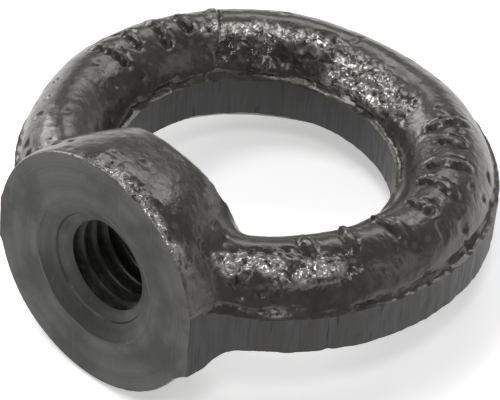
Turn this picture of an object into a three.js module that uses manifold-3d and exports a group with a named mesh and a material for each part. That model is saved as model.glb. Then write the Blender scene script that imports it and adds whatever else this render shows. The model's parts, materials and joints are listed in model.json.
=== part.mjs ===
// Lifting eye nut, M12 size class: one steel drop forging with a ring, a boss and a tapped
// through bore. It lies on its side, the way it rests on a bench: on the rim of the seat
// face and on the far end of the ring. Millimetres, +Z up.
//
// Nut axes, before the nut is laid down: the ring's centre is the origin, the ring lies in
// the XY plane (the parting plane of the forging dies), and the thread runs along Y with
// the seat face towards -Y.

import * as THREE from 'three';
import { mergeGeometries, mergeVertices } from 'three/addons/utils/BufferGeometryUtils.js';
import Module from 'manifold-3d';

const wasm = await Module();
wasm.setup();

// ---------------------------------------------------------------- driving dimensions

const RING_OUTER_D = 54;
const EYE_D = 30.9;
const BAR_THICKNESS = 13.6;         // bar of the ring, along the ring's axis
const BAR_WIDTH = 10.8;             // across, between the lips that the flash leaves
const BAR_POWER = 1.8;              // section of the bar: 2 is an ellipse, 1 is a diamond
const BAND_HEIGHT = 4.6;            // sheared edge of the flash, inside and outside
const BAND_OFFSET = -0.8;           // middle of that edge from the thread's axis
const SEAT_D = 28.4;
const SEAT_TO_RING_CENTRE = 26;

const THREAD_D = 12;
const THREAD_PITCH = 1.75;
const THREAD_MINOR_D = 10.1;
const THREAD_HALF_ANGLE = 30;       // degrees
const COUNTERSINK_D = 16.7;
const COUNTERSINK_HALF_ANGLE = 60;  // degrees

const SEAT_CHAMFER = 0.4;
const BOSS_LAND = 1.5;              // flank of the boss that is nearly straight
const BOSS_END_HEIGHT = 24.6;       // boss where it reaches the eye, along the ring's axis
const BOSS_END_WIDTH = 18.6;          // and across
const TRIM_WIDTH = 28;              // across the boss where the flash was sheared off
const TRIM_FILLET_R = 5;            // between boss and ring, in the parting plane
const EYE_DRAFT = 3;                // degrees, on the wall of the boss that faces the eye

const MARK_HEIGHT = 0.45;           // raised bars on the crown
const MARK_STROKE = 1.3;
const LONG_MARK = 5.2;
const SHORT_MARK = 3.2;

// Place round the ring and lean in degrees, both from +X towards +Y, and length.
const MARKS = [
  [186, 8, LONG_MARK], [176, -10, SHORT_MARK], [166, 0, LONG_MARK], [157, 12, SHORT_MARK],
  [147, -6, LONG_MARK], [50, 5, LONG_MARK], [40, -12, SHORT_MARK], [29, 10, LONG_MARK],
  [18, -8, LONG_MARK], [6, 14, SHORT_MARK], [-8, 6, LONG_MARK], [-22, -10, LONG_MARK],
  [-35, 8, SHORT_MARK],
];

const RING_SEGMENTS = 84;
const BOSS_SEGMENTS = 64;
const THREAD_SEGMENTS = 32;
const CROWN_STEPS = 12;
const FLANK_STEPS = 8;
const FILLET_SEGMENTS = 8;
const MARK_SEGMENTS = 8;
const CLEAR = 2;                    // how far a cutter stands out of what it cuts
const WELD = 1e-4;                  // vertices closer than this are one

// ---------------------------------------------------------------- derived dimensions

const radians = THREE.MathUtils.degToRad;
const ringR = RING_OUTER_D / 2;
const eyeR = EYE_D / 2;
const barMidR = (ringR + eyeR) / 2;
const bandTopZ = BAND_OFFSET + BAND_HEIGHT / 2;
const bandBottomZ = BAND_OFFSET - BAND_HEIGHT / 2;
const crownZ = BAR_THICKNESS / 2;
const seatR = SEAT_D / 2;
const seatY = -SEAT_TO_RING_CENTRE;
const boreLength = SEAT_TO_RING_CENTRE - eyeR;
const tallZ = seatR + CLEAR;

// ---------------------------------------------------------------- solids and booleans

function solidFrom(geometry) {
  const bare = geometry.clone();
  bare.deleteAttribute('normal');
  bare.deleteAttribute('uv');
  const merged = mergeVertices(bare, WELD);
  const corners = merged.index.array;
  const triangles = [];
  for (let i = 0; i < corners.length; i += 3) {
    const [a, b, c] = corners.slice(i, i + 3);
    const isWhole = a !== b && b !== c && c !== a;
    if (isWhole) triangles.push(a, b, c);
  }
  return new wasm.Manifold(new wasm.Mesh({
    numProp: 3,
    vertProperties: Float32Array.from(merged.attributes.position.array),
    triVerts: Uint32Array.from(triangles),
  }));
}

function geometryFrom(solid) {
  const mesh = solid.getMesh();
  const geometry = new THREE.BufferGeometry();
  geometry.setAttribute('position', new THREE.BufferAttribute(mesh.vertProperties, 3));
  geometry.setIndex(new THREE.BufferAttribute(mesh.triVerts, 1));
  geometry.computeVertexNormals();
  return geometry;
}

// Turned about +Y; the outline is [radius, height] pairs that climb the outer side.
function turned(outline, segments) {
  const points = outline.map(([r, y]) => new THREE.Vector2(r, y));
  return new THREE.LatheGeometry(points, segments);
}

function turnedAboutZ(outline, segments) {
  return turned(outline, segments).rotateX(Math.PI / 2);
}

// ---------------------------------------------------------------- ring

// Half of the bar's section on one side of the sheared band, as [distance from the ring's
// axis, height]: the outer corner of the band, the crown, the inner corner.
function halfSection(side, edgeZ, lift) {
  const start = Math.asin((Math.abs(edgeZ) / crownZ) ** (BAR_POWER / 2));
  const outline = [[ringR, edgeZ]];
  for (let i = 0; i <= CROWN_STEPS; i += 1) {
    const angle = start + ((Math.PI - 2 * start) * i) / CROWN_STEPS;
    const cos = Math.cos(angle);
    const across = Math.sign(cos) * Math.abs(cos) ** (2 / BAR_POWER);
    const up = Math.sin(angle) ** (2 / BAR_POWER);
    outline.push([barMidR + (BAR_WIDTH / 2) * across, side * (crownZ * up + lift)]);
  }
  outline.push([eyeR, edgeZ]);
  return outline;
}

function ring(lift = 0) {
  const upper = halfSection(1, bandTopZ, lift);
  const lower = halfSection(-1, bandBottomZ, lift).reverse();
  return turnedAboutZ([...upper, ...lower, upper[0]], RING_SEGMENTS);
}

// ---------------------------------------------------------------- boss

// Round and widest at the seat; towards the eye it draws in, more across than in height.
function turnedBoss() {
  const end = boreLength + CLEAR;
  const shoulder = new THREE.QuadraticBezierCurve(
    new THREE.Vector2(seatR, BOSS_LAND),
    new THREE.Vector2(seatR, boreLength / 2),
    new THREE.Vector2(BOSS_END_HEIGHT / 2, end),
  );
  const flank = shoulder.getPoints(FLANK_STEPS).map((point) => [point.x, point.y]);
  const outline = [[0, 0], [seatR - SEAT_CHAMFER, 0], [seatR, SEAT_CHAMFER], ...flank, [0, end]];
  const body = turned(outline, BOSS_SEGMENTS);
  const position = body.attributes.position;
  for (let i = 0; i < position.count; i += 1) {
    const share = (position.getY(i) / end) ** 2;
    const narrowing = 1 - share * (1 - BOSS_END_WIDTH / BOSS_END_HEIGHT);
    position.setX(i, position.getX(i) * narrowing);
  }
  return body.translate(0, seatY, 0);
}

// The trimming die shears the boss flat on both sides, where the parting plane meets it.
function boss() {
  const slab = new THREE.BoxGeometry(TRIM_WIDTH, 2 * SEAT_TO_RING_CENTRE, 2 * tallZ);
  return solidFrom(turnedBoss()).intersect(solidFrom(slab.translate(0, seatY, 0)));
}

// The sheared flash runs from the ring onto the boss through a fillet on each side. Its
// inner edge lies inside the ring's bar.
function fillets() {
  const halfWidth = TRIM_WIDTH / 2;
  const centreX = halfWidth + TRIM_FILLET_R;
  const centreY = -Math.sqrt((ringR + TRIM_FILLET_R) ** 2 - centreX ** 2);
  const onRing = Math.atan2(centreY, centreX);
  const towardsRing = onRing + Math.PI;
  const shape = new THREE.Shape();
  shape.moveTo(-halfWidth, seatY);
  shape.lineTo(halfWidth, seatY);
  shape.absarc(centreX, centreY, TRIM_FILLET_R, Math.PI, towardsRing, true);
  shape.lineTo(barMidR * Math.cos(onRing), barMidR * Math.sin(onRing));
  shape.lineTo(-barMidR * Math.cos(onRing), barMidR * Math.sin(onRing));
  shape.absarc(-centreX, centreY, TRIM_FILLET_R, Math.PI - towardsRing, 0, true);
  const settings = { depth: BAND_HEIGHT, bevelEnabled: false, curveSegments: FILLET_SEGMENTS };
  return new THREE.ExtrudeGeometry(shape, settings).translate(0, 0, bandBottomZ);
}

// The drafted plug of the dies that opens the eye, wider away from the parting plane.
function eyePlug() {
  const slope = Math.tan(radians(EYE_DRAFT));
  const outline = [
    [0, -tallZ],
    [eyeR + (tallZ + bandBottomZ) * slope, -tallZ],
    [eyeR, bandBottomZ],
    [eyeR, bandTopZ],
    [eyeR + (tallZ - bandTopZ) * slope, tallZ],
    [0, tallZ],
  ];
  return turnedAboutZ(outline, RING_SEGMENTS);
}

// ---------------------------------------------------------------- raised marks

function barMark(length) {
  const [a, b] = [length / 2, MARK_STROKE / 2];
  const shape = new THREE.Shape();
  shape.absarc(a - b, 0, b, -Math.PI / 2, Math.PI / 2);
  shape.absarc(b - a, 0, b, Math.PI / 2, 1.5 * Math.PI);
  return shape;
}

// A mark is the piece of a slightly thicker ring that stands over the mark's outline.
function mark([place, lean, length], thickRing) {
  const settings = { depth: tallZ, bevelEnabled: false, curveSegments: MARK_SEGMENTS };
  const prism = new THREE.ExtrudeGeometry(barMark(length), settings);
  prism.rotateZ(radians(lean)).translate(barMidR, 0, 0).rotateZ(radians(place));
  return solidFrom(prism).intersect(thickRing);
}

// ---------------------------------------------------------------- bore

function countersink() {
  const slope = Math.tan(radians(COUNTERSINK_HALF_ANGLE));
  const mouthR = COUNTERSINK_D / 2 + CLEAR * slope;
  const depth = COUNTERSINK_D / 2 / slope;
  return turned([[0, -CLEAR], [mouthR, -CLEAR], [0, depth]], BOSS_SEGMENTS)
    .translate(0, seatY, 0);
}

// One ridge of the tap for each pitch: [radius, height above the ridge's foot].
const minorR = THREAD_MINOR_D / 2;
const majorR = THREAD_D / 2;
const flankRise = (majorR - minorR) * Math.tan(radians(THREAD_HALF_ANGLE));
const crestRise = THREAD_PITCH / 8; // the flat of an ISO metric thread
const ridge = [
  [minorR, 0],
  [majorR, flankRise],
  [majorR, flankRise + crestRise],
  [minorR, 2 * flankRise + crestRise],
];

// The flat step, one pitch high, where the climbing sweep starts or ends.
function tapStep(axisY, footY, side) {
  const climb = ridge.map(([r, y]) => [r, footY + y]);
  const corners = [[0, axisY], ...climb, [minorR, footY + THREAD_PITCH]];
  const points = corners.map(([r, y]) => new THREE.Vector2(-side * r, y));
  return new THREE.ShapeGeometry(new THREE.Shape(points)).rotateY((side * Math.PI) / 2);
}

// Everything that the tap removes. Turning the ridges while they climb one pitch a turn
// gives a right-hand thread; the two ends on the axis stay where they are.
function tap() {
  const turns = Math.ceil((boreLength + 2 * CLEAR) / THREAD_PITCH) + 1;
  const startY = -2 * THREAD_PITCH;
  const endY = startY + turns * THREAD_PITCH;
  const outline = [[0, startY]];
  for (let i = 0; i < turns; i += 1) {
    outline.push(...ridge.map(([r, y]) => [r, startY + i * THREAD_PITCH + y]));
  }
  outline.push([minorR, endY], [0, endY + THREAD_PITCH]);

  const sweep = turned(outline, THREAD_SEGMENTS);
  const position = sweep.attributes.position;
  for (let i = 0; i < position.count; i += 1) {
    const row = i % outline.length;
    const turn = Math.floor(i / outline.length) / THREAD_SEGMENTS;
    const onAxis = row === 0 || row === outline.length - 1;
    if (!onAxis) position.setY(i, position.getY(i) + turn * THREAD_PITCH);
  }
  const firstStep = tapStep(startY, startY, -1);
  const lastStep = tapStep(endY + THREAD_PITCH, endY, 1);
  return mergeGeometries([sweep, firstStep, lastStep]).translate(0, seatY, 0);
}

// ---------------------------------------------------------------- the forging

function forging() {
  const thickRing = solidFrom(ring(MARK_HEIGHT));
  const marks = MARKS.map((entry) => mark(entry, thickRing));
  const rough = [boss(), solidFrom(fillets()), ...marks]
    .reduce((whole, piece) => whole.add(piece), solidFrom(ring()));
  return [eyePlug(), countersink(), tap()]
    .reduce((whole, cutter) => whole.subtract(solidFrom(cutter)), rough);
}

// Lying down, the nut tips about its seat rim until the ring's crown touches the bench.
function restTilt() {
  const underside = halfSection(-1, bandBottomZ, 0);
  const slopes = underside.map(([y, z]) => Math.atan2(seatR + z, y - seatY));
  return Math.min(...slopes);
}

const blackSteel = new THREE.MeshStandardMaterial({
  name: 'black_steel',
  color: 0x2e2d2a,
  roughness: 0.35,
  metalness: 0.6,
});

const nut = new THREE.Mesh(geometryFrom(forging()), blackSteel);
nut.name = 'eye_nut';
nut.rotation.x = -restTilt();

// The origin is on the bench, under the middle of the nut's bounding box.
const object = new THREE.Group();
object.add(nut);
object.updateMatrixWorld(true);
const bounds = new THREE.Box3().setFromObject(object, true);
const middle = bounds.getCenter(new THREE.Vector3());
nut.position.set(-middle.x, -middle.y, -bounds.min.z);

export default object;
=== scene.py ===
"""Lifting eye nut, M12 size class: the finished surface and the looks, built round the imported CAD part.

The forging is described as a field, a signed distance in millimetres in the nut's own axes: the
ring's centre is the origin, the ring lies in the XY plane (the parting plane of the dies) and the
thread runs along Y with the seat face towards -Y. The field becomes a fine mesh, the forged
surface is worked into its vertices, and then the nut is made as a real one is: the trimming die
shears the flash off, the seat is faced and countersunk, and the bore is tapped.
"""
import json
import math

import bmesh
import bpy
import numpy as np
from mathutils import Matrix, Vector


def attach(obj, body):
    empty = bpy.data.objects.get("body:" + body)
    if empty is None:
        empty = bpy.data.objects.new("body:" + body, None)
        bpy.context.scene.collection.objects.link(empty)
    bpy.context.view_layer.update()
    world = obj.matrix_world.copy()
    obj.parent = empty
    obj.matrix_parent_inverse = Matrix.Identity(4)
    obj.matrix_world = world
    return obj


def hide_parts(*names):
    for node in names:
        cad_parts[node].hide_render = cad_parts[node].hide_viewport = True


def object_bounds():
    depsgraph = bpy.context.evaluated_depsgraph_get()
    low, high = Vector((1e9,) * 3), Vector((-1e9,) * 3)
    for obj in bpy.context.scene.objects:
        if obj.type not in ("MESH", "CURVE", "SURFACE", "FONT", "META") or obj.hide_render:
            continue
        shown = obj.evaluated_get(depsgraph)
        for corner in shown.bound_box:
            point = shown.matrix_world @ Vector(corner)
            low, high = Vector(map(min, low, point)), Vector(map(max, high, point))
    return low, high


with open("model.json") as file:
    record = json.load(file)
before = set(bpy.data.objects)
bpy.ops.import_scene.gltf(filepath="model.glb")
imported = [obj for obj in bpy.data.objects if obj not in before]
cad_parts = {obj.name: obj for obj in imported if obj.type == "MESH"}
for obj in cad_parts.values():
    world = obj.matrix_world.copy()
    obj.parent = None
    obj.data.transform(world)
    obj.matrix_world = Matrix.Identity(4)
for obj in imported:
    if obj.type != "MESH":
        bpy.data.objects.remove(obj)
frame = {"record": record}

cad_low, cad_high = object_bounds()

MM = 0.001

# ---------------------------------------------------------------- dimensions, in millimetres

RING_OUTER_R = 27.0
EYE_R = 15.45
BAR_MIDDLE_R = 21.2
BAR_HALF_WIDTH = 5.5
BAR_HALF_HEIGHT = 6.8
BAR_POWER = 1.8                  # section of the bar: 2 is an ellipse, 1 is a diamond
CROWN_DIP = 0.55                 # the bar is lower at the far end of the ring
CROWN_DIP_WIDTH = 28             # degrees
BAND_TOP = 1.5                   # the sheared edge of the flash reaches from here
BAND_BOTTOM = -3.1               # to here
BAND_MIDDLE = (BAND_TOP + BAND_BOTTOM) / 2
BAND_HALF_HEIGHT = (BAND_TOP - BAND_BOTTOM) / 2
BAND_FILLET = 0.4                # blend between the skin and the flash

SEAT_Y = -26.0
SEAT_R = 14.2
SEAT_ALLOWANCE = 0.2             # what facing takes off
SEAT_ROUNDING = 0.7              # soft edge of the forging there
BOSS_LAND = 1.5                  # flank of the boss that is nearly straight
BOSS_BEND = 5.27                 # control point of the flank's curve, from the seat
BOSS_END_R = 12.3                # boss where it reaches the eye
BOSS_END_NARROWING = 0.245       # share of the width lost there
NARROWING_LIMIT = 1.2            # where the narrowing stops, in lengths of the boss
BOSS_LENGTH = 12.55
BOSS_WALL_ROUNDING = 0.6
BOSS_FILLET = 2.6                # blend between the boss and the ring
BOSS_REACH = 15.0                # everything beyond is the ring's own
BOSS_WALL_R = 15.6               # wall of the boss that faces the eye
EYE_WALL_SPARE = 0.1             # what the rest of the forging stands past that wall
EYE_DRAFT = math.tan(math.radians(3))
TRIM_HALF_WIDTH = 14.0           # flat sides sheared on the boss
TRIM_FILLET_R = 5.0
TRIM_FILLET_X = TRIM_HALF_WIDTH + TRIM_FILLET_R
TRIM_FILLET_Y = -math.sqrt((RING_OUTER_R + TRIM_FILLET_R) ** 2 - TRIM_FILLET_X ** 2)
TRIM_PAST_SEAT = 4               # how far the trimming die reaches past the seat
TRIM_SWELLS = [(-168, 24, -1.0), (5, 20, 0.12)]    # middle and width in degrees, and how far out

FLASH_SPARE = 1                  # how far the flash reaches past the line that it is trimmed to
FLASH_WAVER = ((0.16, 3.0, 3), (0.12, 0.9, 4))     # height, size and seed of each layer of noise
FLASH_WAVER_BELOW = 0.6          # the bottom wavers by this share of the top, the other way
NECK_BAND_BOTTOM = -5.5          # on one side the flash is thicker beside the boss
NECK_BAND_DROP = 0.6             # and its top lower
NECK_X = (11.0, 12.6)            # that comes in between these places
NECK_Y = (-21.0, -24.4)
THIN_BAND_RISE = 1.1             # on the other side it is thinner: its bottom is higher
THIN_BAND_DROP = 0.8             # and its top lower
THIN_X = (-11.0, -12.6)
THIN_Y = (-19.0, -23.0)
NECK_FILLET = 2.4                # what the blend with the skin grows by there
NECK_FILLET_Y = (-20.0, -25.0)

THREAD_PITCH = 1.75
THREAD_MAJOR_R = 6.0
THREAD_MINOR_R = 5.05
COUNTERSINK_R = 8.35
TAP_COLUMNS = 128
TAP_ROWS = 14                    # per pitch
TURNED_COLUMNS = 160

PLACE = "nut_mm"                 # each point's place in the nut's own axes, for the textures

MARK_HEIGHT = 0.34
MARK_STROKE = 0.5                # half the width of a raised stroke
MARK_GROOVE = 0.75               # depth of the groove round a mark, in heights
MARK_GROOVE_WIDTH = 0.2
MARK_FADE_RHO = (21.9, 23.9)     # towards the outside the marks flatten
MARK_FADE = 0.8
MARK_FADE_Z = (3.2, 5.0)         # and lower down they end

# The forged skin. Layers of noise have a height, a size and a seed.
BROAD_LUMPS = ((0.11, 7.0, 5), (0.05, 3.0, 6))
FINE_HEIGHT = 0.035
FINE_SIZE = 0.9
CRUMPLE_RISE = 0.25
CRUMPLE_FOLDS = 0.75
PIT_DEPTH = 0.22
PIT_SIZE = 1.5
CREASE_DEPTH = 0.3
CREASE_WIDTH = 0.2
CREASE_RISE = 0.5                # how far above the band it runs, and how far it wanders
LEDGE_DEPTH = 0.34
LEDGE_RHO = 24.9
LEDGE_MIDDLE = -40               # degrees
LEDGE_WIDTH = 20
PATCH_Z = (1.6, 3.0)             # patches begin above the band
PATCH_RAGS = 0.35                # how ragged their edges are, in shares of their width
PATCH_RAG_SIZE = 1.8
RIM_MIDDLE = 66                  # degrees round the boss
RIM_WIDTH = 32
RIM_R = (11.5, 12.5)
RIM_RAGS = ((0.8, 1.6, 22),)
CALM_REACH = 1.2                 # next to the seat the skin is calmer
CALM_SHARE = 0.35                # share of the relief that is left there

GRID_STEP = 0.295
GRID_LOW = np.array([-28.6, -28.6, -15.4])
GRID_HIGH = np.array([28.6, 28.6, 15.4])
NEWTON_STEPS = 4
NEWTON_REACH = 0.3               # the furthest that one step moves a point
SLOPE_STEP = 0.02                # for the field's slope
CUTTER_STEP = GRID_STEP * 1.05
CUTTER_REACH = 18.0              # how far a cutter's wall stands above and below the ring's middle
CUTTER_ROWS = (-9.0, 4.0)        # where its rows are close together


# ---------------------------------------------------------------- noise and blends

def smoothstep(low, high, x):
    t = np.clip((x - low) / (high - low), 0.0, 1.0)
    return t * t * (3 - 2 * t)


def lattice(cell, seed):
    """A repeatable random number from -1 to 1 for each cell of a grid."""
    x, y, z = (cell[:, i].astype(np.int64) for i in range(3))
    mixed = (x * 374761393 + y * 668265263 + z * 1274126177 + seed * 974634777) & 0xFFFFFFFF
    mixed = ((mixed ^ (mixed >> 13)) * 1103515245) & 0xFFFFFFFF
    mixed = ((mixed ^ (mixed >> 16)) * 668265263) & 0xFFFFFFFF
    return (mixed >> 8 & 0xFFFF) / 32767.5 - 1


def noise(points, size, seed):
    """Smooth noise from -1 to 1 whose lumps are about `size` across."""
    scaled = points / size + 100.5
    cell = np.floor(scaled).astype(np.int64)
    part = scaled - cell
    part = part * part * part * (part * (part * 6 - 15) + 10)
    total = np.zeros(len(points))
    for corner in np.ndindex(2, 2, 2):
        weight = np.ones(len(points))
        for axis, upper in enumerate(corner):
            weight *= part[:, axis] if upper else 1 - part[:, axis]
        total += weight * lattice(cell + np.array(corner), seed)
    return total


def layered(points, size, seed, layers=3):
    """Noise with finer noise on it, each layer half the size and height of the one before."""
    total = np.zeros(len(points))
    for layer in range(layers):
        total += noise(points, size / 2 ** layer, seed + layer) / 2 ** layer
    return total / 1.6


def lumps(points, layers):
    """Noise of several kinds; each layer has a height and a size in millimetres, and a seed."""
    total = np.zeros(len(points))
    for height, size, seed in layers:
        total += height * noise(points, size, seed)
    return total


def join(a, b, blend):
    """Union of two fields with a concave blend."""
    h = np.clip(0.5 + 0.5 * (b - a) / blend, 0.0, 1.0)
    return b + (a - b) * h - blend * h * (1 - h)


def overlap(a, b, blend):
    """What two fields have in common, with a rounded edge."""
    return -join(-a, -b, blend)


# ---------------------------------------------------------------- the field of the forging

def around_ring(points):
    """Distance from the ring's axis, and degrees round it from +X towards +Y."""
    return np.hypot(points[:, 0], points[:, 1]), np.degrees(np.arctan2(points[:, 1], points[:, 0]))


def bell(degrees, middle, width):
    """A smooth hump of height 1 round the ring."""
    off = (degrees - middle + 180) % 360 - 180
    return np.exp(-(off / width) ** 2)


def bar_field(points):
    rho, degrees = around_ring(points)
    height = BAR_HALF_HEIGHT - CROWN_DIP * bell(degrees, 90, CROWN_DIP_WIDTH)
    across = (rho - BAR_MIDDLE_R) / BAR_HALF_WIDTH
    up = points[:, 2] / height
    power = BAR_POWER
    size = np.maximum((np.abs(across) ** power + np.abs(up) ** power) ** (1 / power), 0.05)
    slope_across = (np.abs(across) / size) ** (power - 1) / BAR_HALF_WIDTH
    slope_up = (np.abs(up) / size) ** (power - 1) / height
    return (size - 1) / np.hypot(slope_across, slope_up)


def boss_outline():
    """Radius of the boss at each distance from the seat: a curve that draws in towards the eye."""
    t = np.linspace(0, 1, 24)
    away = (1 - t) ** 2 * BOSS_LAND + 2 * t * (1 - t) * BOSS_BEND + t ** 2 * BOSS_LENGTH
    radius = SEAT_R + (BOSS_END_R - SEAT_R) * t ** 2
    return away, radius


def boss_field(points):
    x, y, z = points.T
    away = y - SEAT_Y
    radius = np.interp(away, *boss_outline())
    share = np.clip(away / BOSS_LENGTH, 0, NARROWING_LIMIT)
    narrow = 1 - BOSS_END_NARROWING * share ** 2
    reach = np.maximum(np.hypot(x / narrow, z), 0.1)
    flank = (reach - radius) * reach / np.maximum(np.hypot(x / narrow ** 2, z), 0.1)
    return overlap(np.maximum(flank, y - SEAT_Y - BOSS_REACH), wall_field(points), BOSS_WALL_ROUNDING)


def wall_field(points):
    """The drafted wall of the dies' plug that opens the eye."""
    rho = np.hypot(points[:, 0], points[:, 1])
    from_band = np.maximum(np.abs(points[:, 2] - BAND_MIDDLE) - BAND_HALF_HEIGHT, 0)
    return BOSS_WALL_R + from_band * EYE_DRAFT - rho


def flash_field(points):
    """The flash between the dies, before it is sheared off; its thickness changes beside the boss."""
    x, y, z = points.T
    rho = np.hypot(x, y)
    beside = smoothstep(*NECK_Y, y) * smoothstep(*NECK_X, x)
    thin = smoothstep(*THIN_Y, y) * smoothstep(*THIN_X, x)
    waver = lumps(points * [1, 1, 0], FLASH_WAVER)
    bottom = BAND_BOTTOM + (NECK_BAND_BOTTOM - BAND_BOTTOM) * beside + THIN_BAND_RISE * thin
    bottom -= FLASH_WAVER_BELOW * waver
    top = BAND_TOP - NECK_BAND_DROP * beside - THIN_BAND_DROP * thin + waver
    off_boss = np.maximum(np.abs(x) - TRIM_HALF_WIDTH - FLASH_SPARE, y)
    outside = np.minimum(rho - RING_OUTER_R - FLASH_SPARE, off_boss)
    return np.maximum.reduce([z - top, bottom - z, EYE_R - FLASH_SPARE - rho, outside])


def forging_field(points):
    body = join(bar_field(points), boss_field(points), BOSS_FILLET)
    body = np.maximum(body, wall_field(points) - EYE_WALL_SPARE)
    neck = smoothstep(*NECK_FILLET_Y, points[:, 1])
    body = join(body, flash_field(points), BAND_FILLET + NECK_FILLET * neck)
    return overlap(body, SEAT_Y - SEAT_ALLOWANCE - points[:, 1], SEAT_ROUNDING)


def slope(field, points):
    """The field's slope at each point, from small steps along each axis."""
    found = np.empty_like(points)
    for axis in range(3):
        step = np.zeros(3)
        step[axis] = SLOPE_STEP
        found[:, axis] = (field(points + step) - field(points - step)) / (2 * SLOPE_STEP)
    return found


# ---------------------------------------------------------------- from field to mesh

def grid_values(field, low, high, step):
    axes = [np.arange(a, b, step) for a, b in zip(low, high)]
    values = np.empty([len(axis) for axis in axes])
    y, z = np.meshgrid(axes[1], axes[2], indexing="ij")
    for i, x in enumerate(axes[0]):
        sheet = np.stack([np.full(y.size, x), y.ravel(), z.ravel()], 1)
        values[i] = field(sheet).reshape(y.shape)
    return values


def surface_net(values, low, step):
    """Points and outward quads of the surface where a grid of values changes its sign."""
    cells = tuple(n - 1 for n in values.shape)
    total = np.zeros((int(np.prod(cells)), 3))
    hits = np.zeros(len(total))
    quads = []
    for axis in range(3):
        near, far = (np.take(values, np.arange(values.shape[axis] - 1) + i, axis) for i in (0, 1))
        at = np.argwhere((near < 0) != (far < 0))
        here, there = near[tuple(at.T)], far[tuple(at.T)]
        crossing = at.astype(float)
        crossing[:, axis] += here / (here - there)
        side, other = (axis + 1) % 3, (axis + 2) % 3
        corners = []
        for a, b in ((-1, -1), (0, -1), (0, 0), (-1, 0)):
            cell = at.copy()
            cell[:, side] += a
            cell[:, other] += b
            index = np.ravel_multi_index(tuple(cell.T), cells)
            corners.append(index)
            hits += np.bincount(index, minlength=len(total))
            for k in range(3):
                total[:, k] += np.bincount(index, crossing[:, k], minlength=len(total))
        quad = np.stack(corners, 1)
        inward = here > 0
        quad[inward] = quad[inward, ::-1]
        quads.append(quad)
    quads = np.concatenate(quads)
    used = np.flatnonzero(hits)
    renumber = np.zeros(len(total), np.int64)
    renumber[used] = np.arange(len(used))
    points = low + step * total[used] / hits[used, None]
    return points, renumber[quads]


def onto_surface(field, points):
    """Moves the points along the slope until the field is zero."""
    for _ in range(NEWTON_STEPS):
        across = slope(field, points)
        steep = np.maximum((across ** 2).sum(1), 0.2)
        move = field(points) / steep
        points = points - across * np.clip(move, -NEWTON_REACH, NEWTON_REACH)[:, None]
    return points


def unit(vectors):
    return vectors / np.maximum(np.linalg.norm(vectors, axis=1, keepdims=True), 1e-9)


def mesh_object(name, points, faces):
    mesh = bpy.data.meshes.new(name)
    mesh.from_pydata((np.asarray(points) * MM).tolist(), [], [list(f) for f in faces])
    mesh.validate()
    thing = bpy.data.objects.new(name, mesh)
    bpy.context.scene.collection.objects.link(thing)
    return thing


# ---------------------------------------------------------------- forged surface

def segment_distance(across, along, start, end):
    """Distance from each place to the line between two places."""
    ax, ay = start
    bx, by = end
    length = (bx - ax) ** 2 + (by - ay) ** 2
    t = np.clip(((across - ax) * (bx - ax) + (along - ay) * (by - ay)) / length, 0, 1)
    return np.hypot(across - ax - t * (bx - ax), along - ay - t * (by - ay))


# Plain raised bars: place round the ring and lean in degrees, from +X towards +Y, and length.
MARKS = [
    (186, 8, 5.2), (176, -10, 3.2), (166, 0, 5.2), (157, 12, 3.2), (147, -6, 5.2),
    (50, 5, 5.2), (40, -12, 3.2), (29, 10, 5.2), (18, -8, 5.2), (6, 14, 3.2),
    (-8, 6, 5.2), (-22, -10, 5.2), (-35, 8, 3.2),
]


def mark_height(points):
    """Share of the marks' height on the crown, with a shallow groove round each mark."""
    rho, degrees = around_ring(points)
    height = np.zeros(len(points))
    across = rho - BAR_MIDDLE_R
    for place, lean, length in MARKS:
        along = np.radians((degrees - place + 180) % 360 - 180) * BAR_MIDDLE_R
        reach = length / 2 - MARK_STROKE
        end = reach * np.array([math.cos(math.radians(lean)), math.sin(math.radians(lean))])
        away = segment_distance(across, along, -end, end)
        ridge = 1 - smoothstep(MARK_STROKE * 0.6, MARK_STROKE * 1.2, away)
        groove = MARK_GROOVE * np.exp(-((away - MARK_STROKE * 1.55) / MARK_GROOVE_WIDTH) ** 2)
        height = np.where(np.abs(ridge - groove) > np.abs(height), ridge - groove, height)
    outer_fade = 1 - MARK_FADE * smoothstep(*MARK_FADE_RHO, rho)
    return height * outer_fade * smoothstep(*MARK_FADE_Z, points[:, 2])


# Ragged patches on the crown: place and reach round the ring in degrees, then across it.
CRUMPLED = [(108, 42, 17.6, 2.2), (-49, 12, 23.6, 1.9), (-32, 9, 23.8, 1.2)]
# Bare-metal patches that also carry painted glints and sheen on the crown.
GLINT_AND_BARE_PATCHES = [(131, 22, 19.2, 0.9), (88, 19, 17.5, 1.3), (-50, 9, 23.7, 1.3), (-33, 7, 24.0, 0.9)]
# Near-black patches: thick black paint, and painted shade in the fold and on the back of the crown.
BLACK_AND_SHADED_PATCHES = [(118, 13, 17.2, 1.3), (-51, 6.5, 25.0, 0.85)]


def patches(points, places, seed):
    """Share of ragged oval patches on the upper side of the ring: from 0 to 1."""
    rho, degrees = around_ring(points)
    share = np.zeros(len(points))
    ragged = PATCH_RAGS * noise(points, PATCH_RAG_SIZE, seed)
    for place, reach, middle, width in places:
        turn = ((degrees - place + 180) % 360 - 180) / reach
        away = np.hypot(turn, (rho - middle) / width) + ragged
        share = np.maximum(share, smoothstep(1.2, 0.8, away))
    return share * smoothstep(*PATCH_Z, points[:, 2])


def rim_strip(points, near, far):
    """A ragged strip behind the seat face, on the upper side of the boss."""
    x, y, z = points.T
    turn = np.degrees(np.arctan2(z, x))
    away = y - SEAT_Y + lumps(points, RIM_RAGS)
    upper = np.exp(-((turn - RIM_MIDDLE) / RIM_WIDTH) ** 4) * smoothstep(*RIM_R, np.hypot(x, z))
    return upper * (1 - smoothstep(near, far, away))


def crumple_share(points):
    """Where scale has left the skin crumpled: from 0 to 1."""
    return np.maximum(patches(points, CRUMPLED, 21), rim_strip(points, 0.9, 2.6))


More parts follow.
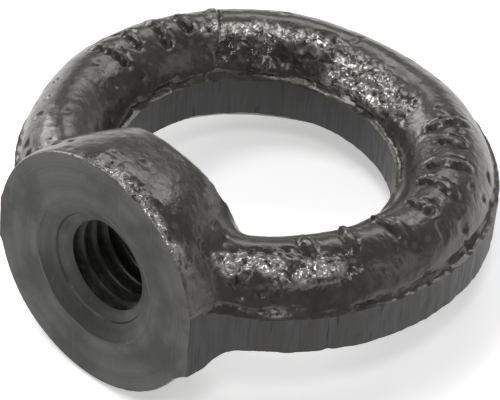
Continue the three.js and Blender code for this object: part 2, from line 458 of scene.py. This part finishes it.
def glint_and_bare_metal_share(points):
    """Where bare bright metal shows through the crumpled skin, placed and brightened as painted glints
    and sheen.
    """
    return np.maximum(patches(points, GLINT_AND_BARE_PATCHES, 51), rim_strip(points, 0.8, 1.7))


def black_and_shade_share(points):
    """Where the skin is near black: thick black paint, and painted shade in the fold at the front, on the
    inner back of the crown and along the seat edge.
    """
    return np.maximum(patches(points, BLACK_AND_SHADED_PATCHES, 61), rim_strip(points, -0.1, 0.35))


def pit_depth(points):
    """Scattered shallow pits."""
    return PIT_DEPTH * smoothstep(0.52, 0.85, noise(points, PIT_SIZE, 31))


def crease_depth(points):
    """A torn crease along the top of the flash, outside and inside the ring."""
    rho, _ = around_ring(points)
    wander = CREASE_RISE * noise(points * [1, 1, 0], 3.0, 35)
    height = points[:, 2] - BAND_TOP - CREASE_RISE - wander
    near_edge = np.maximum(smoothstep(25.0, 26.0, rho), smoothstep(17.4, 16.6, rho))
    torn = 0.5 + 0.5 * noise(points, 1.3, 36)
    return CREASE_DEPTH * torn * near_edge * np.exp(-(height / CREASE_WIDTH) ** 2)


def ledge_depth(points):
    """A fold along the front of the ring: the skin outside it lies deeper."""
    rho, degrees = around_ring(points)
    past = rho - LEDGE_RHO - 0.25 * noise(points * [1, 1, 0], 3.0, 41)
    step = smoothstep(0, 0.25, past) * smoothstep(1.9, 0.8, past)
    along = bell(degrees, LEDGE_MIDDLE, LEDGE_WIDTH)
    return LEDGE_DEPTH * along * step * smoothstep(1.6, 2.4, points[:, 2])


def forged_relief(points):
    """How far the forged skin stands out from the smooth field, in millimetres."""
    fine = FINE_HEIGHT * layered(points, FINE_SIZE, 7)
    folds = np.abs(noise(points, 3.0, 11)) + 0.4 * np.abs(noise(points, 1.5, 12))
    crumpled = crumple_share(points) * (CRUMPLE_RISE - CRUMPLE_FOLDS * folds)
    relief = lumps(points, BROAD_LUMPS) + fine + crumpled + MARK_HEIGHT * mark_height(points)
    return relief - pit_depth(points) - crease_depth(points) - ledge_depth(points)


def raw_forging():
    """The forging with its flash, as it leaves the dies; its skin is calmer close to the seat."""
    values = grid_values(forging_field, GRID_LOW, GRID_HIGH, GRID_STEP)
    points, quads = surface_net(values, GRID_LOW, GRID_STEP)
    points = onto_surface(forging_field, points)
    outward = unit(slope(forging_field, points))
    lively = smoothstep(0.0, CALM_REACH, points[:, 1] - SEAT_Y - 0.1)
    relief = forged_relief(points) * (CALM_SHARE + (1 - CALM_SHARE) * lively)
    return mesh_object("eye_nut_forging", points + outward * relief[:, None], quads)


# ---------------------------------------------------------------- cutters

def grid_faces(columns, rows):
    """Quads of a closed tube of points numbered column by column."""
    faces = []
    for c in range(columns):
        n = (c + 1) % columns
        for r in range(rows - 1):
            faces.append((c * rows + r, n * rows + r, n * rows + r + 1, c * rows + r + 1))
    return faces


def capped_tube(name, rings):
    """A closed solid from an array [column, row, xyz] of points round a tube."""
    columns, rows, _ = rings.shape
    faces = grid_faces(columns, rows)
    faces.append([c * rows for c in reversed(range(columns))])
    faces.append([c * rows + rows - 1 for c in range(columns)])
    return mesh_object(name, rings.reshape(-1, 3), faces)


def spaced(points, step):
    """The same closed line with points a step apart."""
    closed = np.vstack([points, points[:1]])
    lengths = np.linalg.norm(np.diff(closed, axis=0), axis=1)
    at = np.concatenate([[0], np.cumsum(lengths)])
    wanted = np.arange(0, at[-1] - step / 2, step)
    return np.stack([np.interp(wanted, at, closed[:, k]) for k in range(2)], 1)


def outline_radius(degrees):
    """Radius of the trimmed ring, which isn't quite round."""
    radius = RING_OUTER_R
    for middle, width, out in TRIM_SWELLS:
        radius = radius + out * bell(degrees, middle, width)
    return radius


def trim_outline():
    """The line that the trimming die follows: round the ring and down both sides of the boss."""
    on_ring = math.degrees(math.atan2(TRIM_FILLET_Y, TRIM_FILLET_X))
    angles = np.arange(on_ring, 180 - on_ring, 0.5)
    radius = outline_radius(angles)
    line = radius[:, None] * np.stack([np.cos(np.radians(angles)), np.sin(np.radians(angles))], 1)
    turn = np.radians(np.linspace(180, 180 + on_ring, 16))
    fillet = TRIM_FILLET_R * np.stack([np.cos(turn), np.sin(turn)], 1)
    right = [TRIM_FILLET_X, TRIM_FILLET_Y] + fillet
    left = right[::-1] * [-1, 1]
    foot_y = SEAT_Y - TRIM_PAST_SEAT
    foot = [[-TRIM_HALF_WIDTH, foot_y], [TRIM_HALF_WIDTH, foot_y]]
    return np.vstack([line, left, foot, right])


def shear_marks(along, height, seed):
    """Drag lines of the trimming tool: they run with the stroke, and tear a little at its end."""
    line = np.stack([along, height * 0.06, np.zeros_like(along)], 1)
    scores = lumps(line, ((0.05, 2.4, seed), (0.045, 0.55, seed + 1), (0.03, 0.3, seed + 2)))
    torn = np.stack([along, height, np.zeros_like(along)], 1)
    return scores - 0.08 * smoothstep(0.45, 0.8, noise(torn, 1.1, seed + 3))


def wall_rows(step):
    """Heights of a cutter's rows: close together where it cuts, and one far above and below."""
    return np.concatenate([[-CUTTER_REACH], np.arange(*CUTTER_ROWS, step), [CUTTER_REACH]])


def wall_cutter(name, outline, step, seed):
    """A solid with the outline's shape whose upright wall carries the shear marks."""
    line = spaced(outline, step)
    ahead, behind = np.roll(line, -1, 0), np.roll(line, 1, 0)
    tangent = unit(ahead - behind)
    outward = np.stack([tangent[:, 1], -tangent[:, 0]], 1)
    rows = wall_rows(step * 1.3)
    along = np.arange(len(line)) * step
    along_all, height = np.meshgrid(along, rows, indexing="ij")
    relief = shear_marks(along_all.ravel(), height.ravel(), seed).reshape(along_all.shape)
    xy = line[:, None, :] + outward[:, None, :] * relief[:, :, None]
    rings = np.concatenate([xy, height[:, :, None]], 2)
    return capped_tube(name, rings)


def turned_cutter(name, outline):
    """A solid of revolution about the thread's axis from [radius, distance from the seat] pairs."""
    turn = np.linspace(0, 2 * math.pi, TURNED_COLUMNS, endpoint=False)
    rings = np.array([
        [(r * math.sin(a), SEAT_Y + away, r * math.cos(a)) for r, away in outline] for a in turn
    ])
    return capped_tube(name, rings)


def thread_profile(share):
    """Depth of the thread from 0 at its crest to 1 at its root, along one pitch."""
    flank = np.abs((share % 1.0) - 0.5) * 2
    return 1 - smoothstep(0.16, 0.86, flank) * 0.35 - 0.65 * np.clip((flank - 0.14) / 0.7, 0, 1)


def tap_cutter():
    """Everything that the tap removes; its rows climb one pitch in a right-hand turn."""
    columns, per_pitch = TAP_COLUMNS, TAP_ROWS
    turns = math.ceil((SEAT_R + 2) / THREAD_PITCH) + 2
    rows = turns * per_pitch
    low = -2.5 * THREAD_PITCH
    points = []
    for c in range(columns):
        angle = 2 * math.pi * c / columns
        away = low + (np.arange(rows) / per_pitch + c / columns) * THREAD_PITCH
        depth = thread_profile(np.arange(rows) / per_pitch)
        radius = THREAD_MINOR_R + (THREAD_MAJOR_R - THREAD_MINOR_R) * depth
        points += [(r * math.sin(angle), SEAT_Y + a, r * math.cos(angle)) for r, a in zip(radius, away)]
    first, last = len(points), len(points) + 1
    points += [(0, SEAT_Y + low, 0), (0, SEAT_Y + low + turns * THREAD_PITCH, 0)]

    def at(c, r):
        return (c % columns) * rows + r + (per_pitch if c == columns else 0)

    faces = []
    for c in range(columns):
        usable = rows - 1 - (per_pitch if c == columns - 1 else 0)
        for r in range(usable):
            faces.append((at(c, r), at(c + 1, r), at(c + 1, r + 1), at(c, r + 1)))
    bottom = [at(c, 0) for c in range(columns)] + [at(0, r) for r in range(per_pitch, 0, -1)]
    top = [at(c, rows - 1) for c in range(columns - 1)]
    seam = columns - 1
    top += [at(seam, r) for r in range(rows - 1, rows - 1 - per_pitch, -1)]
    top += [at(seam, rows - 1 - per_pitch)]
    faces += [(bottom[i], first, bottom[(i + 1) % len(bottom)]) for i in range(len(bottom))]
    faces += [(top[i], top[(i + 1) % len(top)], last) for i in range(len(top))]
    return mesh_object("tap", points, faces)


# Outlines of the turned tools: radius and distance from the seat.
FACING_TOOL = [(0.01, -8), (24.0, -8), (24.0, 0), (0.01, 0)]
COUNTERSINK = [
    (0.01, -2), (COUNTERSINK_R, -2), (COUNTERSINK_R, 0), (6.55, 1.04),
    (6.4, 1.3), (5.9, 1.55), (4.6, 2.4), (0.01, 2.4),
]


def cut(body, tool, operation):
    """Applies one boolean step to the body and removes the tool."""
    modifier = body.modifiers.new(tool.name, "BOOLEAN")
    modifier.object = tool
    modifier.operation = operation
    modifier.solver = "MANIFOLD"
    bpy.context.view_layer.update()
    evaluated = body.evaluated_get(bpy.context.evaluated_depsgraph_get())
    mesh = bpy.data.meshes.new_from_object(evaluated)
    body.modifiers.clear()
    body.data = mesh
    bpy.data.objects.remove(tool)


def finished_forging():
    """The raw forging after each tool's cut, in the order of the real work."""
    nut = raw_forging()
    circle = np.radians(np.arange(0, 360, 0.5))
    eye = EYE_R * np.stack([np.cos(circle), np.sin(circle)], 1)
    cut(nut, wall_cutter("trimming_die", trim_outline(), CUTTER_STEP, 41), "INTERSECT")
    cut(nut, wall_cutter("eye_punch", eye, CUTTER_STEP, 51), "DIFFERENCE")
    cut(nut, turned_cutter("facing_tool", FACING_TOOL), "DIFFERENCE")
    cut(nut, turned_cutter("countersink", COUNTERSINK), "DIFFERENCE")
    cut(nut, tap_cutter(), "DIFFERENCE")
    return nut


FORGED, SHEARED, MACHINED, TAPPED = range(4)
UPRIGHT = 0.45                   # the most that an upright face's normal leans
SIDE_ROOM = 0.25                 # how far shear marks may lie from the line of the cut, on the boss,
FILLET_ROOM = 0.2                # on its fillets,
RING_ROOM = 0.17                 # on the ring
EYE_ROOM = 0.13                  # and in the eye


def face_kinds(centre, normal):
    """Which operation made each face, told from its place in millimetres and its direction."""
    x, y, z = centre.T
    rho, degrees = around_ring(centre)
    from_axis = np.hypot(x, z)
    away = y - SEAT_Y
    upright = np.abs(normal[:, 2]) < UPRIGHT
    on_side = (np.abs(x) > TRIM_HALF_WIDTH - SIDE_ROOM) & (y < -19) & (np.abs(normal[:, 0]) > 0.8)
    from_fillet = np.abs(np.hypot(np.abs(x) - TRIM_FILLET_X, y - TRIM_FILLET_Y) - TRIM_FILLET_R)
    on_fillet = (from_fillet < FILLET_ROOM) & (rho > RING_OUTER_R - 0.5) & (y < -18)
    on_ring = rho > outline_radius(degrees) - RING_ROOM
    in_eye = rho < EYE_R + EYE_ROOM
    banded = (z > BAND_BOTTOM - 3.2) & (z < BAND_TOP + 0.7)
    facing = (away < 0.01) & (normal[:, 1] < -0.99)
    sink = (from_axis < COUNTERSINK_R + 0.01) & (away < 2.3) & (np.abs(normal[:, 1]) > 0.2)
    bore = (from_axis < THREAD_MAJOR_R + 0.02) & (away < BOSS_LENGTH) & (rho > EYE_R - 1)
    kinds = np.full(len(centre), FORGED, np.int32)
    kinds[banded & upright & (on_side | on_fillet | on_ring | in_eye)] = SHEARED
    kinds[bore] = TAPPED
    kinds[sink & (from_axis > THREAD_MINOR_R)] = MACHINED
    kinds[facing] = MACHINED
    return kinds


def paint(nut):
    """Gives each face its material, and each point its place and its share of the patches."""
    mesh = nut.data
    centre = np.empty(len(mesh.polygons) * 3)
    normal = np.empty(len(mesh.polygons) * 3)
    mesh.polygons.foreach_get("center", centre)
    mesh.polygons.foreach_get("normal", normal)
    kinds = face_kinds(centre.reshape(-1, 3) / MM, normal.reshape(-1, 3))
    mesh.materials.clear()
    for material in (forged_skin(), sheared_edge(), machined_face(), tapped_thread()):
        mesh.materials.append(material)
    mesh.polygons.foreach_set("material_index", kinds)

    points = np.empty(len(mesh.vertices) * 3)
    mesh.vertices.foreach_get("co", points)
    points = points.reshape(-1, 3) / MM
    place = mesh.attributes.new(PLACE, "FLOAT_VECTOR", "POINT")
    place.data.foreach_set("vector", points.astype(np.float32).ravel())
    shares = {
        "crumple": crumple_share(points),
        "glint_and_bare_metal": glint_and_bare_metal_share(points),
        "black_and_shade": black_and_shade_share(points),
    }
    for name, share in shares.items():
        layer = mesh.attributes.new(name, "FLOAT", "POINT")
        layer.data.foreach_set("value", share.astype(np.float32))


# ---------------------------------------------------------------- materials

SKIN_BLACK = (0.017, 0.0165, 0.0145)
SKIN_BROWN = (0.031, 0.0295, 0.0255)
SKIN_DUSTY = (0.042, 0.039, 0.032)
SKIN_SHEEN = (1.0, 0.98, 0.93, 1.0)
WORN_EDGE = (0.16, 0.155, 0.145)
DULL_SCALE = (0.15, 0.147, 0.138)
# Bright bare steel, also laid on as painted glints and sheen.
BARE_STEEL_GLINT = (0.44, 0.433, 0.415)
# Near black: thick black paint, and painted shade.
BLACK_PAINT_SHADE = (0.003, 0.003, 0.0025)

SHEARED_DARK = (0.033, 0.0335, 0.034)
SHEARED_LIGHT = (0.047, 0.047, 0.047)
SHEARED_BROWN = (0.036, 0.034, 0.031)
GOUGE = (0.007, 0.007, 0.007)

FACED_DARK = (0.05, 0.05, 0.048)
FACED_LIGHT = (0.078, 0.077, 0.073)
FACED_CIRCLES = (0.1, 0.1, 0.095)
FACED_STAIN = (0.042, 0.041, 0.036)
FACED_SCUFF = (0.03, 0.03, 0.028)
FACED_SCRATCH = (0.13, 0.13, 0.122)
# Painted highlight along the countersink's outer edge.
LIP_HIGHLIGHT = (0.19, 0.188, 0.18)

THREAD_DARK = (0.022, 0.021, 0.02)
THREAD_LIGHT = (0.05, 0.048, 0.044)


class Shader:
    """A material whose textures are laid out in millimetres in the nut's own axes."""

    def __init__(self, name):
        self.material = bpy.data.materials.new(name)
        self.material.use_nodes = True
        self.nodes = self.material.node_tree.nodes
        self.links = self.material.node_tree.links
        self.surface = self.nodes["Principled BSDF"]
        place = self.nodes.new("ShaderNodeAttribute")
        place.attribute_name = PLACE
        self.place = place.outputs["Vector"]

    def link(self, source, target):
        if isinstance(source, (int, float, tuple)):
            target.default_value = source
        else:
            self.links.new(source, target)

    def scaled(self, place, factors):
        node = self.nodes.new("ShaderNodeVectorMath")
        node.operation = "MULTIPLY"
        self.links.new(place, node.inputs[0])
        node.inputs[1].default_value = factors
        return node.outputs[0]

    def noise(self, size, detail=3.0, roughness=0.55, stretch=(1, 1, 1), place=None):
        node = self.nodes.new("ShaderNodeTexNoise")
        node.inputs["Scale"].default_value = 1 / size
        node.inputs["Detail"].default_value = detail
        node.inputs["Roughness"].default_value = roughness
        self.links.new(self.scaled(place or self.place, stretch), node.inputs["Vector"])
        return node.outputs["Fac"]

    def cells(self, size):
        """Distance to the edge of random cells."""
        node = self.nodes.new("ShaderNodeTexVoronoi")
        node.feature = "DISTANCE_TO_EDGE"
        node.inputs["Scale"].default_value = 1 / size
        self.links.new(self.place, node.inputs["Vector"])
        return node.outputs[0]

    def attribute(self, name):
        node = self.nodes.new("ShaderNodeAttribute")
        node.attribute_name = name
        return node.outputs["Fac"]

    def ramp(self, source, low, high, start=0.0, end=1.0):
        node = self.nodes.new("ShaderNodeMapRange")
        node.interpolation_type = "SMOOTHSTEP"
        self.link(source, node.inputs["Value"])
        node.inputs["From Min"].default_value = low
        node.inputs["From Max"].default_value = high
        node.inputs["To Min"].default_value = start
        node.inputs["To Max"].default_value = end
        return node.outputs["Result"]

    def math(self, operation, *sources):
        node = self.nodes.new("ShaderNodeMath")
        node.operation = operation
        for source, target in zip(sources, node.inputs):
            self.link(source, target)
        return node.outputs[0]

    def mixed(self, share, first, second):
        node = self.nodes.new("ShaderNodeMix")
        node.data_type = "RGBA"
        self.link(share, node.inputs["Factor"])
        colours = [i for i in node.inputs if i.type == "RGBA"]
        for source, target in zip((first, second), colours):
            self.link((*source, 1.0) if isinstance(source, tuple) else source, target)
        return [o for o in node.outputs if o.type == "RGBA"][0]

    def bump(self, height, distance, below=None):
        """Height in units of `distance`, which is in millimetres."""
        node = self.nodes.new("ShaderNodeBump")
        node.inputs["Strength"].default_value = 1.0
        node.inputs["Distance"].default_value = distance * MM
        self.link(height, node.inputs["Height"])
        if below is not None:
            self.links.new(below, node.inputs["Normal"])
        return node.outputs["Normal"]

    def worn(self):
        """Share of bare metal on the edges that stand out."""
        edges = self.nodes.new("ShaderNodeNewGeometry").outputs["Pointiness"]
        return self.ramp(edges, 0.52, 0.6)

    def done(self, colour, roughness, normal, metallic=0.0, **fixed):
        sockets = self.surface.inputs
        self.link(colour, sockets["Base Color"])
        self.link(roughness, sockets["Roughness"])
        self.link(metallic, sockets["Metallic"])
        self.links.new(normal, sockets["Normal"])
        for name, value in fixed.items():
            sockets[name.replace("_", " ")].default_value = value
        return self.material


def forged_skin():
    """Scale and black paint over the forging: oily, uneven, rubbed thin on the edges, with painted glints
    and sheen on the bare-metal patches and painted shade in the near-black ones.
    """
    s = Shader("forged_skin")
    crumple = s.attribute("crumple")
    cloud = s.noise(5.0, 4.0)
    mottle = s.noise(0.9, 4.0, 0.6)
    colour = s.mixed(s.ramp(cloud, 0.35, 0.65), SKIN_BLACK, SKIN_BROWN)
    colour = s.mixed(s.ramp(mottle, 0.45, 0.75, 0, 0.5), colour, SKIN_DUSTY)
    colour = s.mixed(s.math("MULTIPLY", s.worn(), 0.25), colour, WORN_EDGE)
    gloss = s.ramp(s.noise(2.2, 5.0, 0.65), 0.3, 0.7, 0.27, 0.42)
    gloss = s.math("SUBTRACT", gloss, s.math("MULTIPLY", crumple, 0.12))
    flecks = s.ramp(s.noise(1.1, 4.0, 0.6), 0.42, 0.6)
    dull = s.math("MULTIPLY", flecks, s.math("MULTIPLY", crumple, 0.22))
    colour = s.mixed(dull, colour, DULL_SCALE)
    black_and_shade = s.attribute("black_and_shade")
    # Bare-metal specks, brightened to stand for glints and sheen: bare steel and painted highlights
    # together.
    bare = s.math("MULTIPLY", s.attribute("glint_and_bare_metal"), s.math("SUBTRACT", 1.0, black_and_shade))
    glint_and_bare_metal = s.math("MULTIPLY", s.ramp(s.noise(0.9, 3.0, 0.6), 0.4, 0.56), bare)
    colour = s.mixed(glint_and_bare_metal, colour, BARE_STEEL_GLINT)
    # Near-black paint and painted shade where that share is high; the skin is also rougher there.
    colour = s.mixed(s.math("MULTIPLY", black_and_shade, 0.92), colour, BLACK_PAINT_SHADE)
    gloss = s.math("ADD", gloss, s.math("MULTIPLY", black_and_shade, 0.3))
    skin = s.bump(s.noise(1.3, 2.0, 0.5), 0.16)
    grain = s.bump(s.noise(0.3, 3.0, 0.5), 0.022, skin)
    flakes = s.math("MULTIPLY", s.ramp(s.cells(1.6), 0.0, 0.25), crumple)
    normal = s.bump(flakes, 0.1, grain)
    facets = s.math("MULTIPLY", s.cells(0.8), bare)
    normal = s.bump(facets, 0.4, normal)
    metal = s.math("MULTIPLY", glint_and_bare_metal, 0.7)
    oil = {"Coat_Weight": 0.3, "Coat_Roughness": 0.16, "Coat_Tint": SKIN_SHEEN}
    return s.done(
        colour, gloss, normal, metal, Specular_IOR_Level=0.75, Specular_Tint=SKIN_SHEEN, **oil
    )


def sheared_edge():
    """The trimmed flash: matt grey, drawn in the direction of the tool's stroke."""
    s = Shader("sheared_edge")
    drag = s.noise(0.28, 4.0, 0.65, (1, 1, 0.05))
    broad = s.noise(2.5, 3.0, 0.5, (1, 1, 0.25))
    colour = s.mixed(s.ramp(drag, 0.28, 0.5), SHEARED_DARK, SHEARED_LIGHT)
    colour = s.mixed(s.ramp(broad, 0.42, 0.62, 0, 0.8), colour, SHEARED_BROWN)
    gouge = s.ramp(s.noise(0.6, 3.0, 0.6, (1, 1, 0.09)), 0.6, 0.7)
    colour = s.mixed(s.math("MULTIPLY", gouge, 0.85), colour, GOUGE)
    rough = s.ramp(drag, 0.3, 0.7, 0.6, 0.42)
    normal = s.bump(drag, 0.04)
    normal = s.bump(s.noise(0.1, 2.0), 0.01, normal)
    return s.done(colour, rough, normal, 0.15)


def machined_face():
    """The faced seat and the countersink: satin, with the tool's faint circles and a painted highlight
    along the countersink's edge.
    """
    s = Shader("machined_face")
    flat = s.nodes.new("ShaderNodeVectorMath")
    flat.operation = "LENGTH"
    s.links.new(s.scaled(s.place, (1, 0, 1)), flat.inputs[0])
    radius = flat.outputs["Value"]
    along = s.nodes.new("ShaderNodeCombineXYZ")
    s.links.new(radius, along.inputs["X"])
    circles = s.noise(0.22, 3.0, 0.6, place=along.outputs[0])
    bands = s.noise(1.6, 2.0, 0.5, place=along.outputs[0])
    stain = s.noise(4.5, 5.0, 0.6)
    scuff = s.noise(0.6, 5.0, 0.7)
    colour = s.mixed(s.ramp(bands, 0.35, 0.65), FACED_DARK, FACED_LIGHT)
    colour = s.mixed(s.ramp(circles, 0.4, 0.7, 0, 0.35), colour, FACED_CIRCLES)
    colour = s.mixed(s.ramp(stain, 0.42, 0.66, 0, 0.7), colour, FACED_STAIN)
    colour = s.mixed(s.ramp(scuff, 0.6, 0.75, 0, 0.4), colour, FACED_SCUFF)
    scratch = s.ramp(s.noise(0.5, 2.0, 0.5, (1, 1, 0.06)), 0.62, 0.7)
    colour = s.mixed(s.math("MULTIPLY", scratch, 0.22), colour, FACED_SCRATCH)
    # A thin painted highlight along the countersink's outer edge, broken up by the stain noise.
    lip = s.math("ABSOLUTE", s.math("SUBTRACT", radius, COUNTERSINK_R + 0.02))
    lip_highlight = s.math("MULTIPLY", s.ramp(lip, 0.05, 0.2, 0.4, 0.0), s.ramp(stain, 0.5, 0.62))
    colour = s.mixed(lip_highlight, colour, LIP_HIGHLIGHT)
    rough = s.ramp(stain, 0.35, 0.65, 0.38, 0.55)
    normal = s.bump(circles, 0.012)
    normal = s.bump(scuff, 0.02, normal)
    return s.done(colour, rough, normal, 0.35)


def tapped_thread():
    """Cut thread, dark with oil."""
    s = Shader("tapped_thread")
    mottle = s.noise(0.7, 4.0, 0.6)
    colour = s.mixed(s.ramp(mottle, 0.35, 0.7), THREAD_DARK, THREAD_LIGHT)
    rough = s.ramp(mottle, 0.3, 0.7, 0.3, 0.5)
    normal = s.bump(s.noise(0.2, 3.0, 0.6, (1, 4, 1)), 0.02)
    return s.done(colour, rough, normal, 0.4)


# ---------------------------------------------------------------- the nut in its place

SHARP_ANGLE = math.radians(26)


def placement():
    """From the nut's own axes to the row frame, read from the seat mount."""
    mount = frame["record"]["mounts"][0]
    along = -Vector(mount["axis"]).normalized()
    across = Vector((1, 0, 0))
    up = across.cross(along)
    centre = Vector(mount["pos_m"]) - across * mount["pos_m"][0] - along * (SEAT_Y * MM)
    turn = Matrix((across, along, up)).transposed()
    return Matrix.Translation(centre) @ turn.to_4x4()


def sharpen(mesh):
    """Keeps the shading of one operation's faces from running into the next one's."""
    mesh.set_sharp_from_angle(angle=SHARP_ANGLE)
    bm = bmesh.new()
    bm.from_mesh(mesh)
    for edge in bm.edges:
        if len({face.material_index for face in edge.link_faces}) > 1:
            edge.smooth = False
    bm.to_mesh(mesh)
    bm.free()


def show_nut():
    nut = finished_forging()
    paint(nut)
    sharpen(nut.data)
    nut.data.transform(placement())
    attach(nut, "root")
    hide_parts("eye_nut")


# ---------------------------------------------------------------- studio

CAMERA_AZIMUTH = 38.68           # degrees, in the nut's own axes
CAMERA_ELEVATION = 37.85
CAMERA_ROLL = 5.55
CAMERA_DISTANCE = 334.6          # from the point that it looks at
CAMERA_AIM = (-0.4, -3.13)       # of that point from the ring's centre, right and up
LENS = 216.35
SENSOR_WIDTH = 36

FLOOR_HALF_WIDTH = 1.5           # metres
FLOOR_WHITE = 0.9
FLOOR_GLOW = 0.45
WORLD_GLOW = 0.2

# Softboxes, all aimed at the nut: place, width and height in metres, and power in watts.
SOFTBOXES = {
    "back_light": ((-0.3, 0.5, 0.5), (0.5, 0.25), 1.35),
    "left_light": ((-0.62, 0.05, 0.3), (0.2, 0.4), 1.5),
    "right_light": ((0.6, 0.25, 0.28), (0.15, 0.35), 0.25),
    "top_light": ((-0.22, -0.12, 0.66), (0.3, 0.2), 1.5),
    "front_light": ((0.24, -0.26, 0.68), (0.14, 0.14), 1.0),
    "glint_light": ((0.05, 0.62, 0.42), (0.16, 0.16), 0.5),
}


def make_camera():
    azimuth, elevation = math.radians(CAMERA_AZIMUTH), math.radians(CAMERA_ELEVATION)
    flat = math.cos(elevation)
    back = Vector((math.sin(azimuth) * flat, -math.cos(azimuth) * flat, math.sin(elevation)))
    right = Vector((math.cos(azimuth), math.sin(azimuth), 0))
    up = back.cross(right)
    aim = right * CAMERA_AIM[0] + up * CAMERA_AIM[1]
    turn = Matrix((right, up, back)).transposed() @ Matrix.Rotation(math.radians(CAMERA_ROLL), 3, "Z")
    place = Matrix.Translation((aim + back * CAMERA_DISTANCE) * MM) @ turn.to_4x4()
    data = bpy.data.cameras.new("camera")
    data.lens = LENS
    data.sensor_width = SENSOR_WIDTH
    data.clip_start, data.clip_end = 0.01, 10
    camera = bpy.data.objects.new("camera", data)
    bpy.context.scene.collection.objects.link(camera)
    camera.matrix_world = placement() @ place
    bpy.context.scene.camera = camera


def make_floor():
    bm = bmesh.new()
    bmesh.ops.create_grid(bm, x_segments=8, y_segments=8, size=FLOOR_HALF_WIDTH)
    mesh = bpy.data.meshes.new("floor")
    bm.to_mesh(mesh)
    bm.free()
    floor = bpy.data.objects.new("floor", mesh)
    bpy.context.scene.collection.objects.link(floor)
    material = bpy.data.materials.new("floor")
    material.use_nodes = True
    surface = material.node_tree.nodes["Principled BSDF"]
    surface.inputs["Base Color"].default_value = (FLOOR_WHITE, FLOOR_WHITE, FLOOR_WHITE, 1)
    surface.inputs["Roughness"].default_value = 0.9
    surface.inputs["Specular IOR Level"].default_value = 0.1
    surface.inputs["Emission Color"].default_value = (1, 1, 1, 1)
    surface.inputs["Emission Strength"].default_value = FLOOR_GLOW
    mesh.materials.append(material)


def softbox(name, place, size, power):
    light = bpy.data.lights.new(name, "AREA")
    light.shape = "RECTANGLE"
    light.size, light.size_y = size
    light.energy = power
    lamp = bpy.data.objects.new(name, light)
    bpy.context.scene.collection.objects.link(lamp)
    aim = (cad_low + cad_high) / 2
    lamp.location = Vector(place)
    lamp.rotation_mode = "QUATERNION"
    lamp.rotation_quaternion = (Vector(aim) - Vector(place)).to_track_quat("-Z", "Y")


def make_lights():
    for name, (place, size, power) in SOFTBOXES.items():
        softbox(name, place, size, power)
    world = bpy.data.worlds.new("studio")
    world.use_nodes = True
    world.node_tree.nodes["Background"].inputs["Color"].default_value = (1, 1, 1, 1)
    world.node_tree.nodes["Background"].inputs["Strength"].default_value = WORLD_GLOW
    bpy.context.scene.world = world
    bpy.context.scene.view_settings.view_transform = "Standard"


make_camera()
make_floor()
make_lights()
show_nut()
